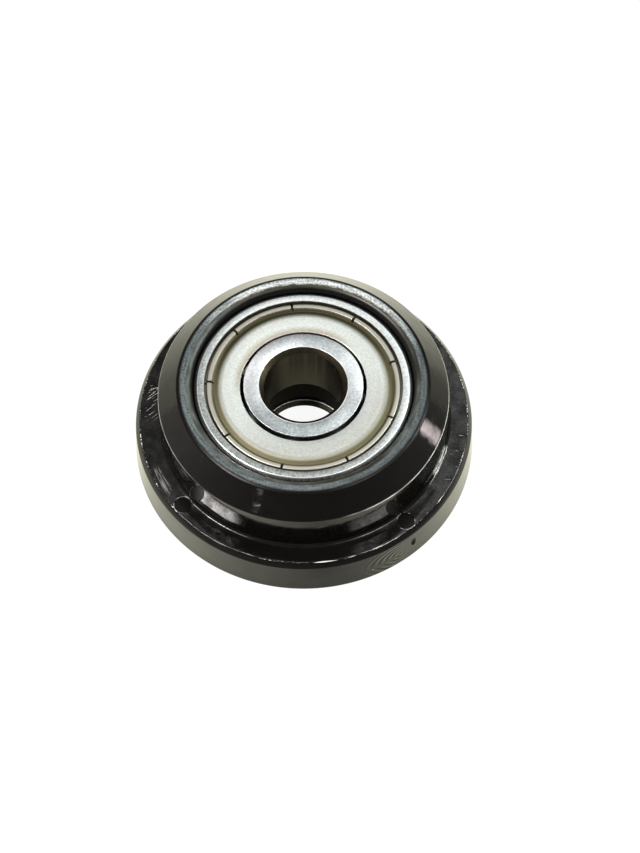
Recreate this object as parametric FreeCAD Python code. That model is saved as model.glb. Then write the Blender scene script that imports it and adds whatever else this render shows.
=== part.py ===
import FreeCAD, Part
import math
import os

from FreeCAD import Vector

# Chain guide roller: a moulded plastic roller with one flange, on a shielded ball bearing.
# Millimetres. +Z is the bearing's axis and points to the open, coned side.
# The origin is the centre of the flange's flat underside, which the roller rests on.

# Bearing, the standard size of 8 mm bore, 22 mm outside and 7 mm width
bore_diameter = 8.0
bearing_diameter = 22.0
bearing_width = 7.0
bore_chamfer = 0.5
outer_chamfer = 0.3

# Balls and raceways
ball_count = 7
ball_diameter = 3.969
raceway_radius = 2.06
running_clearance = 0.02
inner_land_drop = 1.45
outer_land_rise = 1.5

# Shields, sprung into a groove in the outer ring
shield_sheet = 0.25
shield_gap = 0.34
shield_drop = 0.25
slope_run = 0.58
channel_drop = 0.52
channel_wall_run = 0.22
bead_drop = 0.15
bead_width = 0.5
shield_seat_rise = 0.98
seat_gap = 0.18
groove_rise = 0.2
groove_slack = 0.04
ledge_depth = 0.9
slit_count = 9
slit_width = 0.2
slit_phase = 17.0
slit_reach = 0.25

# Ball cage, two pressed ribbons riveted together
cage_sheet = 0.4
cage_width = 1.9
pocket_clearance = 0.06
rivet_diameter = 0.7
rivet_head_diameter = 1.1
rivet_head_height = 0.25

# Roller, outwards from the bearing
mouth_gap = 0.2
lead_in_radius = 0.65
rim_land = 0.8
cone_run = 2.1
flange_reach = 2.75
flange_draft = 0.22
hub_draft = 0.12

# Roller, upwards from the underside
flange_thickness = 4.7
seat_height = 4.1
bearing_recess = 0.5
cone_height = 2.25
throat_depth = 0.5
relief_depth = 0.6
relief_gap = 0.3

# Axle hole under the bearing
axle_clearance = 0.1
lip_width = 0.52
lip_thickness = 0.45

# Moulded edges
underside_edge = 0.3
flange_chamfer_run = 0.43
flange_chamfer_drop = 0.6

# Round marks of the mould's ejector pins on the flange
ejector_count = 4
ejector_diameter = 1.8
ejector_depth = 0.06
ejector_inset = 0.05
ejector_phase = 40.0

bore_radius = bore_diameter / 2
bearing_radius = bearing_diameter / 2
ball_radius = ball_diameter / 2
pitch_radius = (bore_radius + bearing_radius) / 2
inner_land_radius = pitch_radius - inner_land_drop
outer_land_radius = pitch_radius + outer_land_rise

bearing_bottom = seat_height
bearing_top = bearing_bottom + bearing_width
bearing_middle = (bearing_bottom + bearing_top) / 2

shield_seat_radius = outer_land_radius + shield_seat_rise
groove_radius = shield_seat_radius + groove_rise

hub_radius = bearing_radius + mouth_gap + lead_in_radius + rim_land + cone_run
flange_radius = hub_radius + flange_reach
flange_top_radius = flange_radius - flange_draft
flange_flat_radius = flange_top_radius - flange_chamfer_run
lip_radius = bore_radius + axle_clearance

origin = Vector(0, 0, 0)
up = Vector(0, 0, 1)


def rounded_corner(before, corner, after, rounding):
    """Points where the arc that rounds a corner starts, peaks and ends."""
    to_before = (before - corner).normalize()
    to_after = (after - corner).normalize()
    half_angle = to_before.getAngle(to_after) / 2
    inwards = (to_before + to_after).normalize()
    reach = rounding / math.tan(half_angle)
    peak = corner + inwards * (rounding / math.sin(half_angle) - rounding)
    return corner + to_before * reach, peak, corner + to_after * reach


def turned(section):
    """Solid of revolution about Z. The section's corners are (radius, height, rounding)."""
    corners = [Vector(radius, 0, height) for radius, height, rounding in section]
    following = corners[1:] + corners[:1]
    bends = []
    for index, corner in enumerate(corners):
        bends.append(rounded_corner(corners[index - 1], corner, following[index], section[index][2]))
    edges = []
    for index, (start, peak, end) in enumerate(bends):
        if section[index][2] > 0:
            edges.append(Part.Arc(start, peak, end).toShape())
        next_start = bends[(index + 1) % len(bends)][0]
        edges.append(Part.makeLine(end, next_start))
    return Part.Face(Part.Wire(edges)).revolve(origin, up, 360)


def spaced(shape, count, phase):
    """Copies of a shape spread evenly round the axis, the first one at the phase angle."""
    copies = []
    for index in range(count):
        copy = shape.copy()
        copy.rotate(origin, up, phase + index * 360 / count)
        copies.append(copy)
    return copies


def tube(inner_radius, outer_radius, bottom, top):
    """Plain ring between two heights."""
    return turned([
        (inner_radius, bottom, 0),
        (outer_radius, bottom, 0),
        (outer_radius, top, 0),
        (inner_radius, top, 0),
    ])


def roller_body():
    """Moulded roller: flange, hub, cone, bearing pocket and the lipped hole for the axle."""
    rim_top = bearing_top + bearing_recess
    cone_bottom = rim_top - cone_height
    mouth_radius = bearing_radius + mouth_gap
    rim_radius = hub_radius - cone_run
    throat_bottom = bearing_top - throat_depth
    relief_radius = outer_land_radius + relief_gap
    relief_floor = seat_height - relief_depth
    well_radius = lip_radius + lip_width
    body = turned([
        (lip_radius, 0, 0),
        (flange_radius, 0, underside_edge),
        (flange_top_radius, flange_thickness - flange_chamfer_drop, 0),
        (flange_flat_radius, flange_thickness, 0),
        (hub_radius + hub_draft, flange_thickness, 0),
        (hub_radius, cone_bottom, 0),
        (rim_radius, rim_top, 0),
        (mouth_radius, rim_top, lead_in_radius),
        (mouth_radius, throat_bottom, 0),
        (bearing_radius, throat_bottom - mouth_gap, 0),
        (bearing_radius, seat_height, 0),
        (relief_radius, seat_height, 0),
        (relief_radius, relief_floor, 0),
        (well_radius, relief_floor, 0),
        (well_radius, lip_thickness, 0),
        (lip_radius, lip_thickness, 0),
    ])
    mark_radius = ejector_diameter / 2
    mark_centre = flange_flat_radius - ejector_inset - mark_radius
    mark_place = Vector(mark_centre, 0, flange_thickness - ejector_depth)
    mark = Part.makeCylinder(mark_radius, 2 * ejector_depth, mark_place)
    return body.cut(spaced(mark, ejector_count, ejector_phase))


def raceway(groove_bottom_radius, outwards):
    """Ring of round section that cuts a raceway; outwards is 1 on the outer ring, -1 on the inner."""
    groove = Part.makeTorus(groove_bottom_radius - outwards * raceway_radius, raceway_radius)
    groove.translate(Vector(0, 0, bearing_middle))
    return groove


def inner_ring():
    """Inner ring with a chamfered axle bore and its raceway outside."""
    ring = turned([
        (bore_radius + bore_chamfer, bearing_bottom, 0),
        (inner_land_radius, bearing_bottom, 0),
        (inner_land_radius, bearing_top, 0),
        (bore_radius + bore_chamfer, bearing_top, 0),
        (bore_radius, bearing_top - bore_chamfer, 0),
        (bore_radius, bearing_bottom + bore_chamfer, 0),
    ])
    return ring.cut(raceway(pitch_radius - ball_radius - running_clearance, -1))


def outer_ring():
    """Outer ring with a shield seat and groove at each face and its raceway inside."""
    groove_top = ledge_depth - shield_sheet - groove_slack
    ring = turned([
        (shield_seat_radius, bearing_bottom, 0),
        (bearing_radius - outer_chamfer, bearing_bottom, 0),
        (bearing_radius, bearing_bottom + outer_chamfer, 0),
        (bearing_radius, bearing_top - outer_chamfer, 0),
        (bearing_radius - outer_chamfer, bearing_top, 0),
        (shield_seat_radius, bearing_top, 0),
        (shield_seat_radius, bearing_top - groove_top, 0),
        (groove_radius, bearing_top - groove_top, 0),
        (groove_radius, bearing_top - ledge_depth, 0),
        (outer_land_radius, bearing_top - ledge_depth, 0),
        (outer_land_radius, bearing_bottom + ledge_depth, 0),
        (groove_radius, bearing_bottom + ledge_depth, 0),
        (groove_radius, bearing_bottom + groove_top, 0),
        (shield_seat_radius, bearing_bottom + groove_top, 0),
    ])
    return ring.cut(raceway(pitch_radius + ball_radius + running_clearance, 1))


def upper_shield():
    """Pressed shield: a flat washer, a channel, a bead, and a slit edge sprung into the groove."""
    hole_radius = inner_land_radius + shield_gap
    edge_radius = groove_radius - groove_slack
    leg_radius = shield_seat_radius - seat_gap
    bead_radius = leg_radius - bead_width
    channel_radius = bead_radius - channel_wall_run
    slope_radius = channel_radius - slope_run
    washer_top = bearing_top - shield_drop
    channel_floor = bearing_top - channel_drop
    bead_top = bearing_top - bead_drop
    ledge = bearing_top - ledge_depth
    half_sheet = shield_sheet / 2
    shield = turned([
        (hole_radius, washer_top - shield_sheet, 0),
        (slope_radius, washer_top - shield_sheet, 0),
        (channel_radius + half_sheet, channel_floor - shield_sheet, 0),
        (bead_radius + half_sheet, bead_top - shield_sheet, 0),
        (leg_radius - shield_sheet, bead_top - shield_sheet, 0),
        (leg_radius - shield_sheet, ledge, 0),
        (edge_radius, ledge, 0),
        (edge_radius, ledge + shield_sheet, 0),
        (leg_radius, ledge + shield_sheet, 0),
        (leg_radius, bead_top, 0),
        (bead_radius, bead_top, 0),
        (channel_radius, channel_floor, 0),
        (slope_radius, washer_top, 0),
        (hole_radius, washer_top, 0),
    ])
    slit_start = slope_radius + slit_reach
    slit_place = Vector(slit_start, -slit_width / 2, bearing_top - ledge_depth)
    slit = Part.makeBox(edge_radius, slit_width, ledge_depth, slit_place)
    return shield.cut(spaced(slit, slit_count, slit_phase))


def at_pitch(shape):
    """The shape moved out from the axis to the balls' pitch circle, half way up the bearing."""
    shape.translate(Vector(pitch_radius, 0, bearing_middle))
    return shape


def cage_rivets():
    """Rivets between the balls, each with a flat round head on both ribbons."""
    head = rivet_head_diameter / 2
    shank = rivet_diameter / 2
    top = cage_sheet + rivet_head_height
    rivet = turned([
        (0, -top, 0),
        (head, -top, 0),
        (head, -cage_sheet, 0),
        (shank, -cage_sheet, 0),
        (shank, cage_sheet, 0),
        (head, cage_sheet, 0),
        (head, top, 0),
        (0, top, 0),
    ])
    return spaced(at_pitch(rivet), ball_count, 180 / ball_count)


def pocket_roll(radius):
    """Round bar that lies along a ball's radius and reaches past both edges of the ribbon."""
    return at_pitch(Part.makeCylinder(radius, 2 * cage_width, Vector(-cage_width, 0, 0), Vector(1, 0, 0)))


def upper_cage():
    """Upper ribbon: a flat ring pressed up into a half-round pocket over each ball."""
    pocket_radius = ball_radius + pocket_clearance
    dome_radius = pocket_radius + cage_sheet
    inside = pitch_radius - cage_width / 2
    outside = pitch_radius + cage_width / 2
    ribbon = tube(inside, outside, bearing_middle, bearing_middle + cage_sheet)
    band = tube(inside, outside, bearing_middle, bearing_middle + dome_radius + cage_sheet)
    domes = spaced(pocket_roll(dome_radius), ball_count, 0)
    pockets = spaced(pocket_roll(pocket_radius), ball_count, 0)
    pressed = ribbon.fuse([dome.common(band) for dome in domes])
    return pressed.cut(pockets).cut(cage_rivets()).removeSplitter()


def mirrored_below(shape):
    """The same piece turned over to the bearing's lower side."""
    return shape.mirror(Vector(0, 0, bearing_middle), up)


def balls():
    """The balls, evenly spaced on the pitch circle."""
    return spaced(at_pitch(Part.makeSphere(ball_radius)), ball_count, 0)


shield = upper_shield()
cage = upper_cage()
nodes = {
    "roller_body": roller_body(),
    "outer_ring": outer_ring(),
    "inner_ring": inner_ring(),
    "upper_shield": shield,
    "lower_shield": mirrored_below(shield),
    "upper_cage": cage,
    "lower_cage": mirrored_below(cage),
    "cage_rivets": Part.makeCompound(cage_rivets()),
}
for number, ball in enumerate(balls(), start=1):
    nodes[f"ball_{number}"] = ball

os.makedirs("parts", exist_ok=True)
for name, shape in nodes.items():
    shape.exportStep(f"parts/{name}.step")
    print(name, len(shape.Solids), shape.isValid(), round(shape.Volume, 3))
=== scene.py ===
import math
from types import SimpleNamespace

import bmesh
import bpy
from mathutils import Matrix


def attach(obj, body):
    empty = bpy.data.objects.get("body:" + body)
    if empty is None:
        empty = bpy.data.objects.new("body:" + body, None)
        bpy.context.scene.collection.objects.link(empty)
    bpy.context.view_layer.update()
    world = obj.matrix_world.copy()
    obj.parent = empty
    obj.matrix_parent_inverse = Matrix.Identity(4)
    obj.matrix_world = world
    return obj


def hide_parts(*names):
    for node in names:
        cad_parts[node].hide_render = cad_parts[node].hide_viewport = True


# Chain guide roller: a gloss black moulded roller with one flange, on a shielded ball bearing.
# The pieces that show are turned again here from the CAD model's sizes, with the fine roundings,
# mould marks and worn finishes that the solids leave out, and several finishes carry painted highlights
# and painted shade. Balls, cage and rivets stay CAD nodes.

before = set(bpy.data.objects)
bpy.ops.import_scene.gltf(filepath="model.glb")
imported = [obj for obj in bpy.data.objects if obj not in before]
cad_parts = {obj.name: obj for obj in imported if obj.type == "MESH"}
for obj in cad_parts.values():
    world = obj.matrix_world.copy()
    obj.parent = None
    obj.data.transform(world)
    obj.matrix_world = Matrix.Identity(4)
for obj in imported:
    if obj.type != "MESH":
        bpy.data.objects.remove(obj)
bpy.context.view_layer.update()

mm = 0.001

# Bearing, in millimetres; heights are measured up from the flange's underside
bore_radius = 4.0
bore_chamfer = 0.5
inner_land_radius = 6.05
outer_land_radius = 9.0
bearing_radius = 11.0
outer_chamfer = 0.3
bearing_bottom = 4.1
bearing_top = 11.1
bearing_middle = 7.6
pitch_radius = 7.5
ball_radius = 1.9845
raceway_radius = 2.06
raceway_fullness = 0.998
running_clearance = 0.02
seat_radius = 9.98
groove_radius = 10.18
groove_top = 0.61
ledge_depth = 0.9
ring_edge = 0.06

# Shields
sheet = 0.25
half_sheet = sheet / 2
shield_hole_radius = 6.39
slope_radius = 8.5
slope_bend = 0.9
channel_radius = 9.08
channel_bend = 0.1
bead_radius = 9.3
bead_bend = 0.14
leg_radius = 9.8
leg_bend = 0.18
leg_root = 0.1
shield_edge_radius = 10.14
washer_drop = 0.25
channel_drop = 0.52
bead_drop = 0.15
slit_count = 9
slit_width = 0.26
slit_phase = 17.0
slit_start_radius = 9.1
slit_overrun = 1.0

# Roller moulding
lip_radius = 4.1
lip_top = 0.45
well_radius = 4.62
relief_radius = 9.3
relief_floor = 3.5
throat_bottom = 10.6
throat_chamfer = 0.2
mouth_radius = 11.2
lead_in = 0.65
rim_radius = 12.65
rim_top = 11.6
rim_fall = 0.04
cone_bottom = 9.35
hub_radius = 14.75
hub_draft = 0.12
flange_radius = 17.5
flange_top_radius = 17.28
flange_top = 4.7
flange_flat_radius = 16.85
flange_chamfer_drop = 0.6
underside_edge = 0.3
flange_edge = 0.12
flange_slope_radius = 15.6
flange_slope_rise = 0.04
flange_slope_blend = 0.12
flange_edge_blend = 0.15
hub_root = 0.35
well_root = 0.2
cone_edge = 0.1
rim_edge = 0.65
fine_edge = 0.06

# Marks that the mould left: ejector pins on the flange's top, and the gate with its flow mark on the side
ejector_count = 4
ejector_radius = 0.9
ejector_depth = 0.06
ejector_phase = 40.0
ejector_place_radius = 15.9
ejector_flash = 0.035
gate_azimuth = 309.5
gate_height = 2.56
gate_half_width = 0.34
gate_half_height = 0.7
gate_depth = 0.35
flow_azimuth = 305.0
flow_height = 1.9
flow_spacing = 0.42
flow_stretch = 1.9

# Wear and a painted highlight on the flange's top, the hollow inside the gate mark, and the limits of faces
# with their own finish
scuff_radius = 16.84
slide_radius = 16.1
gate_hollow_radius = 17.31
rim_face_depth = 0.3
rim_face_level = 0.72
flat_level = 0.999
face_margin = 0.02
lip_underside = 0.05

# How finely the pieces are drawn
merge_distance = 0.0005
steps_round = 288
mark_steps_round = 72
flash_steps = 8
least_rounding_steps = 3
rounding_step = 0.08
crease_degrees = 32


def rounding_steps(rounding):
    """How many straight steps draw a rounding smoothly."""
    return least_rounding_steps + int(rounding / rounding_step)


def made(name, bm):
    """A new object from a bmesh, with doubles merged and faces pointing outwards."""
    bmesh.ops.remove_doubles(bm, verts=bm.verts, dist=merge_distance * mm)
    bmesh.ops.recalc_face_normals(bm, faces=bm.faces)
    mesh = bpy.data.meshes.new(name)
    bm.to_mesh(mesh)
    bm.free()
    piece = bpy.data.objects.new(name, mesh)
    bpy.context.scene.collection.objects.link(piece)
    return piece


def turned(name, section):
    """Closed piece turned about Z. The section's corners are (radius, height, rounding) in millimetres."""
    radii, heights, roundings = zip(*section)
    bm = bmesh.new()
    corners = [bm.verts.new((radius * mm, 0, height * mm)) for radius, height in zip(radii, heights)]
    for index, corner in enumerate(corners):
        bm.edges.new((corners[index - 1], corner))
    reaches = []
    for index, corner in enumerate(corners):
        following = corners[(index + 1) % len(corners)]
        opening = (corners[index - 1].co - corner.co).angle(following.co - corner.co)
        reaches.append(roundings[index] * mm / math.tan(opening / 2))
    for corner, reach, rounding in zip(corners, reaches, roundings):
        if rounding:
            bmesh.ops.bevel(bm, geom=[corner], offset=reach, offset_type="OFFSET", affect="VERTICES",
                            segments=rounding_steps(rounding), profile=0.5, material=-1)
    bmesh.ops.remove_doubles(bm, verts=bm.verts, dist=merge_distance * mm)
    bmesh.ops.spin(bm, geom=bm.verts[:] + bm.edges[:], cent=(0, 0, 0), axis=(0, 0, 1), dvec=(0, 0, 0),
                   angle=2 * math.pi, steps=steps_round, use_merge=True)
    return made(name, bm)


def settle(piece):
    """Applies the piece's modifiers to its mesh."""
    depsgraph = bpy.context.evaluated_depsgraph_get()
    mesh = bpy.data.meshes.new_from_object(piece.evaluated_get(depsgraph))
    piece.modifiers.clear()
    piece.data = mesh


def shape_with(piece, tool, operation):
    """Cuts a tool's shape out of a piece or joins it on, and removes the tool."""
    boolean = piece.modifiers.new("tool", "BOOLEAN")
    boolean.operation = operation
    boolean.solver = "EXACT"
    boolean.object = tool
    settle(piece)
    bpy.data.objects.remove(tool)


def smooth_faces(piece):
    """Smooth shading that keeps flats flat and creases sharp."""
    piece.data.shade_smooth()
    piece.data.set_sharp_from_angle(angle=math.radians(crease_degrees))
    weighted = piece.modifiers.new("flats", "WEIGHTED_NORMAL")
    weighted.keep_sharp = True
    settle(piece)


def round_the_axis(count, phase):
    """Turns about Z that spread copies evenly, the first one at the phase angle in degrees."""
    return [Matrix.Rotation(math.radians(phase + index * 360 / count), 4, "Z") for index in range(count)]


def placed(radius, height):
    """Move out from the axis and up, in millimetres."""
    return Matrix.Translation((radius * mm, 0, height * mm))


def press_ejector_marks(piece):
    """Presses the round ejector marks into the flange's top, each with a thin ring of flash."""
    centres = [turn @ placed(ejector_place_radius, flange_top)
               for turn in round_the_axis(ejector_count, ejector_phase)]
    upright = Matrix.Rotation(math.pi / 2, 4, "X")
    flash = bmesh.new()
    for centre in centres:
        ring = bmesh.ops.create_circle(flash, segments=flash_steps, radius=ejector_flash * mm,
                                       matrix=centre @ placed(ejector_radius, 0) @ upright)["verts"]
        lines = list(dict.fromkeys(line for vert in ring for line in vert.link_edges))
        bmesh.ops.spin(flash, geom=ring + lines, cent=centre.translation, axis=(0, 0, 1), dvec=(0, 0, 0),
                       angle=2 * math.pi, steps=mark_steps_round, use_merge=True)
    shape_with(piece, made("ejector_flash", flash), "UNION")
    pins = bmesh.new()
    for centre in centres:
        bmesh.ops.create_cone(pins, cap_ends=True, segments=mark_steps_round, depth=2 * ejector_depth * mm,
                              radius1=(ejector_radius - ejector_depth) * mm,
                              radius2=(ejector_radius + ejector_depth) * mm, matrix=centre)
    shape_with(piece, made("ejector_pins", pins), "DIFFERENCE")


def tear_gate(piece):
    """Cuts the hollow that the gate left when it was torn off the flange's side."""
    gate = bmesh.new()
    gate_size = Matrix.Diagonal((gate_depth * mm, gate_half_width * mm, gate_half_height * mm, 1))
    gate_turn = Matrix.Rotation(math.radians(gate_azimuth), 4, "Z")
    bmesh.ops.create_icosphere(gate, subdivisions=4, radius=1,
                               matrix=gate_turn @ placed(flange_radius, gate_height) @ gate_size)
    shape_with(piece, made("gate", gate), "DIFFERENCE")


def roller_moulding():
    """Flange, hub, cone, rim and bearing pocket in one moulding, with its ejector and gate marks."""
    piece = turned("roller_moulding", [
        (lip_radius, 0, fine_edge),
        (flange_radius, 0, underside_edge),
        (flange_top_radius, flange_top - flange_chamfer_drop, flange_edge),
        (flange_flat_radius, flange_top, flange_edge),
        (flange_flat_radius - flange_edge_blend, flange_top, 0),
        (flange_slope_radius + flange_slope_blend, flange_top, 0),
        (flange_slope_radius, flange_top, 0),
        (hub_radius + hub_draft, flange_top + flange_slope_rise, hub_root),
        (hub_radius, cone_bottom, cone_edge),
        (rim_radius, rim_top - rim_fall, rim_edge),
        (mouth_radius, rim_top, lead_in),
        (mouth_radius, throat_bottom, fine_edge),
        (bearing_radius, throat_bottom - throat_chamfer, 0),
        (bearing_radius, bearing_bottom, fine_edge),
        (relief_radius, bearing_bottom, fine_edge),
        (relief_radius, relief_floor, fine_edge),
        (well_radius, relief_floor, fine_edge),
        (well_radius, lip_top, well_root),
        (lip_radius, lip_top, fine_edge),
    ])
    press_ejector_marks(piece)
    tear_gate(piece)
    smooth_faces(piece)
    return piece


def raceway(centre_radius, land_radius):
    """Section corner of a ball groove: where the tangents at the groove's two edges meet."""
    spread = math.acos(abs(land_radius - centre_radius) / raceway_radius)
    reach = math.copysign(raceway_radius / math.cos(spread), land_radius - centre_radius)
    return centre_radius + reach, bearing_middle, raceway_fullness * raceway_radius


def groove_half_height(centre_radius, land_radius):
    """Half of a ball groove's opening, measured along the axis."""
    return math.sqrt(raceway_radius ** 2 - (land_radius - centre_radius) ** 2)


def inner_ring():
    """Inner ring with a chamfered bore and softly broken edges."""
    centre = pitch_radius - ball_radius - running_clearance + raceway_radius
    opening = groove_half_height(centre, inner_land_radius)
    piece = turned("inner_ring_ground", [
        (bore_radius + bore_chamfer, bearing_bottom, ring_edge),
        (inner_land_radius, bearing_bottom, ring_edge),
        (inner_land_radius, bearing_middle - opening, 0),
        raceway(centre, inner_land_radius),
        (inner_land_radius, bearing_middle + opening, 0),
        (inner_land_radius, bearing_top, ring_edge),
        (bore_radius + bore_chamfer, bearing_top, ring_edge),
        (bore_radius, bearing_top - bore_chamfer, ring_edge),
        (bore_radius, bearing_bottom + bore_chamfer, ring_edge),
    ])
    smooth_faces(piece)
    return piece


def outer_ring():
    """Outer ring with a shield seat and groove at each face."""
    centre = pitch_radius + ball_radius + running_clearance - raceway_radius
    opening = groove_half_height(centre, outer_land_radius)
    piece = turned("outer_ring_ground", [
        (seat_radius, bearing_bottom, ring_edge),
        (bearing_radius - outer_chamfer, bearing_bottom, ring_edge),
        (bearing_radius, bearing_bottom + outer_chamfer, ring_edge),
        (bearing_radius, bearing_top - outer_chamfer, ring_edge),
        (bearing_radius - outer_chamfer, bearing_top, ring_edge),
        (seat_radius, bearing_top, ring_edge),
        (seat_radius, bearing_top - groove_top, 0),
        (groove_radius, bearing_top - groove_top, 0),
        (groove_radius, bearing_top - ledge_depth, 0),
        (outer_land_radius, bearing_top - ledge_depth, ring_edge),
        (outer_land_radius, bearing_middle + opening, 0),
        raceway(centre, outer_land_radius),
        (outer_land_radius, bearing_middle - opening, 0),
        (outer_land_radius, bearing_bottom + ledge_depth, ring_edge),
        (groove_radius, bearing_bottom + ledge_depth, 0),
        (groove_radius, bearing_bottom + groove_top, 0),
        (seat_radius, bearing_bottom + groove_top, 0),
    ])
    smooth_faces(piece)
    return piece


def turn_over(piece):
    """Mirrors a bearing piece about the bearing's middle, so that it serves the lower side."""
    bm = bmesh.new()
    bm.from_mesh(piece.data)
    bmesh.ops.transform(bm, verts=bm.verts, matrix=Matrix.Diagonal((1, 1, -1, 1)))
    bmesh.ops.translate(bm, verts=bm.verts, vec=(0, 0, 2 * bearing_middle * mm))
    bmesh.ops.recalc_face_normals(bm, faces=bm.faces)
    bm.to_mesh(piece.data)
    bm.free()


def pressed_shield(name, upper):
    """Shield pressed from sheet, above or below the balls: washer, channel and slit bead."""
    washer = bearing_top - washer_drop
    channel = bearing_top - channel_drop
    bead = bearing_top - bead_drop
    ledge = bearing_top - ledge_depth
    piece = turned(name, [
        (shield_hole_radius, washer - sheet, fine_edge),
        (slope_radius, washer - sheet, fine_edge),
        (channel_radius + half_sheet, channel - sheet, fine_edge),
        (bead_radius + half_sheet, bead - sheet, 0),
        (leg_radius - sheet, bead - sheet, 0),
        (leg_radius - sheet, ledge, leg_root),
        (shield_edge_radius, ledge, 0),
        (shield_edge_radius, ledge + sheet, 0),
        (leg_radius, ledge + sheet, 0),
        (leg_radius, bead, leg_bend),
        (bead_radius, bead, bead_bend),
        (channel_radius, channel, channel_bend),
        (slope_radius, washer, slope_bend),
        (shield_hole_radius, washer, fine_edge),
    ])
    slits = bmesh.new()
    slit_length = shield_edge_radius - slit_start_radius + slit_overrun
    slit_size = Matrix.Diagonal((slit_length * mm, slit_width * mm, 2 * ledge_depth * mm, 1))
    slit_place = placed(slit_start_radius + slit_length / 2, bearing_top - ledge_depth / 2)
    for turn in round_the_axis(slit_count, slit_phase):
        bmesh.ops.create_cube(slits, size=1, matrix=turn @ slit_place @ slit_size)
    shape_with(piece, made("slits", slits), "DIFFERENCE")
    if not upper:
        turn_over(piece)
    smooth_faces(piece)
    return piece


# Materials: patterns are sized in millimetres, and azimuths are degrees round the axis from +X.
# A Mix node's sockets go by number: 0 is the share, 2 and 3 are its values, and 6 and 7 its colours.


def linear(hex_colour):
    """Linear RGBA of an sRGB hex colour."""
    channels = [int(hex_colour[start:start + 2], 16) / 255 for start in (1, 3, 5)]
    return [c / 12.92 if c <= 0.04045 else ((c + 0.055) / 1.055) ** 2.4 for c in channels] + [1.0]


def per(size):
    """Texture scale that makes a pattern's cells this many millimetres wide."""
    return 1 / size


def add(tree, kind, inputs=None, **settings):
    """Adds a node with its settings. Inputs are values or other nodes' outputs, by socket."""
    node = tree.nodes.new("ShaderNode" + kind)
    for name, value in settings.items():
        setattr(node, name, value)
    for socket, value in (inputs or {}).items():
        if isinstance(value, bpy.types.NodeSocket):
            tree.links.new(value, node.inputs[socket])
        else:
            node.inputs[socket].default_value = value
    return node


def new_material(name):
    """An empty material and its nodes."""
    material = bpy.data.materials.new(name)
    material.use_nodes = True
    material.node_tree.nodes.clear()
    return material, material.node_tree


def surfaced(material, inputs):
    """The material with its surface shader, set to these inputs."""
    tree = material.node_tree
    shader = add(tree, "BsdfPrincipled", inputs)
    add(tree, "OutputMaterial", {"Surface": shader.outputs[0]})
    return material


def place_in_mm(tree):
    """A point's place on its own piece, in millimetres."""
    place = add(tree, "TexCoord").outputs["Object"]
    return add(tree, "VectorMath", {0: place, "Scale": 1 / mm}, operation="SCALE").outputs[0]


def round_place(tree):
    """A point of a turned piece: place, radius and height in millimetres, and its outward direction."""
    place = place_in_mm(tree)
    flat = add(tree, "VectorMath", {0: place, 1: (1, 1, 0)}, operation="MULTIPLY").outputs[0]
    outward = add(tree, "VectorMath", {0: flat}, operation="NORMALIZE").outputs[0]
    radius = add(tree, "VectorMath", {0: flat}, operation="LENGTH").outputs["Value"]
    height = add(tree, "SeparateXYZ", {0: place}).outputs["Z"]
    return SimpleNamespace(place=place, outward=outward, radius=radius, height=height)


def stretch(tree, at, azimuth, half_width, fade):
    """1 along a stretch of the round centred on an azimuth, fading to 0 at its ends. All in degrees."""
    towards = (math.cos(math.radians(azimuth)), math.sin(math.radians(azimuth)), 0)
    share = add(tree, "VectorMath", {0: at.outward, 1: towards}, operation="DOT_PRODUCT")
    ends = {"Value": share.outputs["Value"], "From Min": math.cos(math.radians(half_width + fade)),
            "From Max": math.cos(math.radians(half_width))}
    return add(tree, "MapRange", ends, interpolation_type="SMOOTHSTEP").outputs[0]


def near(tree, value, middle, reach, fade):
    """1 where a value lies within reach of its middle, fading to 0."""
    offset = add(tree, "Math", {0: value, 1: middle}, operation="SUBTRACT")
    away = add(tree, "Math", {0: offset.outputs[0]}, operation="ABSOLUTE")
    return add(tree, "MapRange", {"Value": away.outputs[0], "From Min": reach, "From Max": reach + fade,
                                  "To Min": 1.0, "To Max": 0.0}).outputs[0]


def combined(tree, operation, *masks):
    """Masks or values joined one after another: MULTIPLY keeps what they share, MAXIMUM keeps them all."""
    result = masks[0]
    for mask in masks[1:]:
        result = add(tree, "Math", {0: result, 1: mask}, operation=operation).outputs[0]
    return result


def clouded(tree, place, size, detail, low, high, least=0.0, most=1.0):
    """Random patches of a size in millimetres: noise that runs from least to most between two levels."""
    noise = add(tree, "TexNoise", {"Vector": place, "Scale": per(size), "Detail": detail}).outputs[0]
    return add(tree, "MapRange", {"Value": noise, "From Min": low, "From Max": high, "To Min": least,
                                  "To Max": most}).outputs[0]


def toned(tree, value, low, dark, high, pale):
    """Colour that runs from dark at a low value to pale at a high one."""
    share = add(tree, "MapRange", {"Value": value, "From Min": low, "From Max": high}).outputs[0]
    return add(tree, "Mix", {0: share, 6: linear(dark), 7: linear(pale)}, data_type="RGBA").outputs[2]


def drawn_round(tree, at, across, length, width):
    """Noise whose marks run round the piece. Their width, and their length at the hub, are in millimetres."""
    along = add(tree, "VectorMath", {0: at.outward, "Scale": hub_radius / length}, operation="SCALE")
    rows = add(tree, "Math", {0: across, 1: per(width)}, operation="MULTIPLY")
    return add(tree, "TexNoise", {"Vector": along.outputs[0], "W": rows.outputs[0], "Scale": 1.0,
                                  "Detail": 2.0}, noise_dimensions="4D").outputs[0]


def scored(tree, at, turn, length, width):
    """Noise whose marks are short straight scratches, turned by an angle in degrees."""
    level = add(tree, "VectorRotate", {"Vector": at.place, "Angle": math.radians(turn)},
                rotation_type="Z_AXIS").outputs[0]
    spread = add(tree, "VectorMath", {0: level, 1: (per(length), per(width), per(length))},
                 operation="MULTIPLY").outputs[0]
    return add(tree, "TexNoise", {"Vector": spread, "Scale": 1.0, "Detail": 0.0}).outputs[0]


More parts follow.
